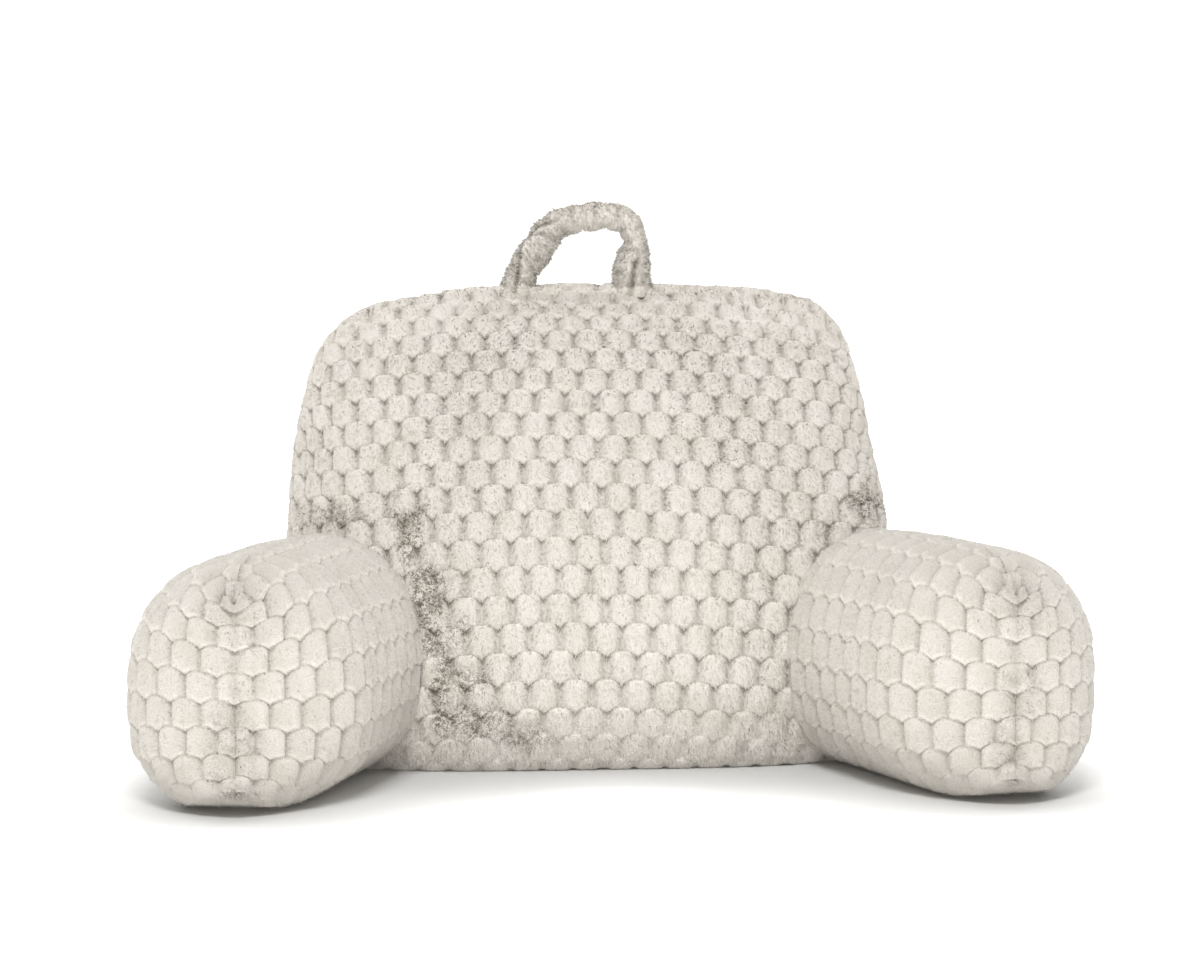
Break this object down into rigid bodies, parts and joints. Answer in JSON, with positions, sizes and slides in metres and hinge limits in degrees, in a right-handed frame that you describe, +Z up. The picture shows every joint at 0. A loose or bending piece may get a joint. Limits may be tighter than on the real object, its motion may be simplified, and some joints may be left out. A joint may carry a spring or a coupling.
{
  "type": "reading pillow with arms",
  "caption": "Filled plush back rest that stands on a bed or floor, with a bolster arm at each side and a carry loop on top; a reader sits between the arms and leans back.",
  "frame": {"origin": "middle of the footprint's box, on the surface the pillow stands on", "axes": "+X to the right arm as seen from the front, -Y the way the pillow faces and its arms reach, +Z up"},
  "size_m": [0.7458, 0.4695, 0.4611],
  "materials": {
    "back_plush": "warm ivory faux-fur plush, pile cut in offset rows of scale-like tiles, matt with a soft sheen",
    "arm_plush": "the same ivory sculpted plush, folded over each arm and sewn down its front end",
    "handle_plush": "the same ivory plush, folded and sewn into a soft strap"
  },
  "bodies": {
    "root": {"back_cushion": "back_plush", "arm_left": "arm_plush", "arm_right": "arm_plush", "handle": "handle_plush"}
  },
  "joints": []
}
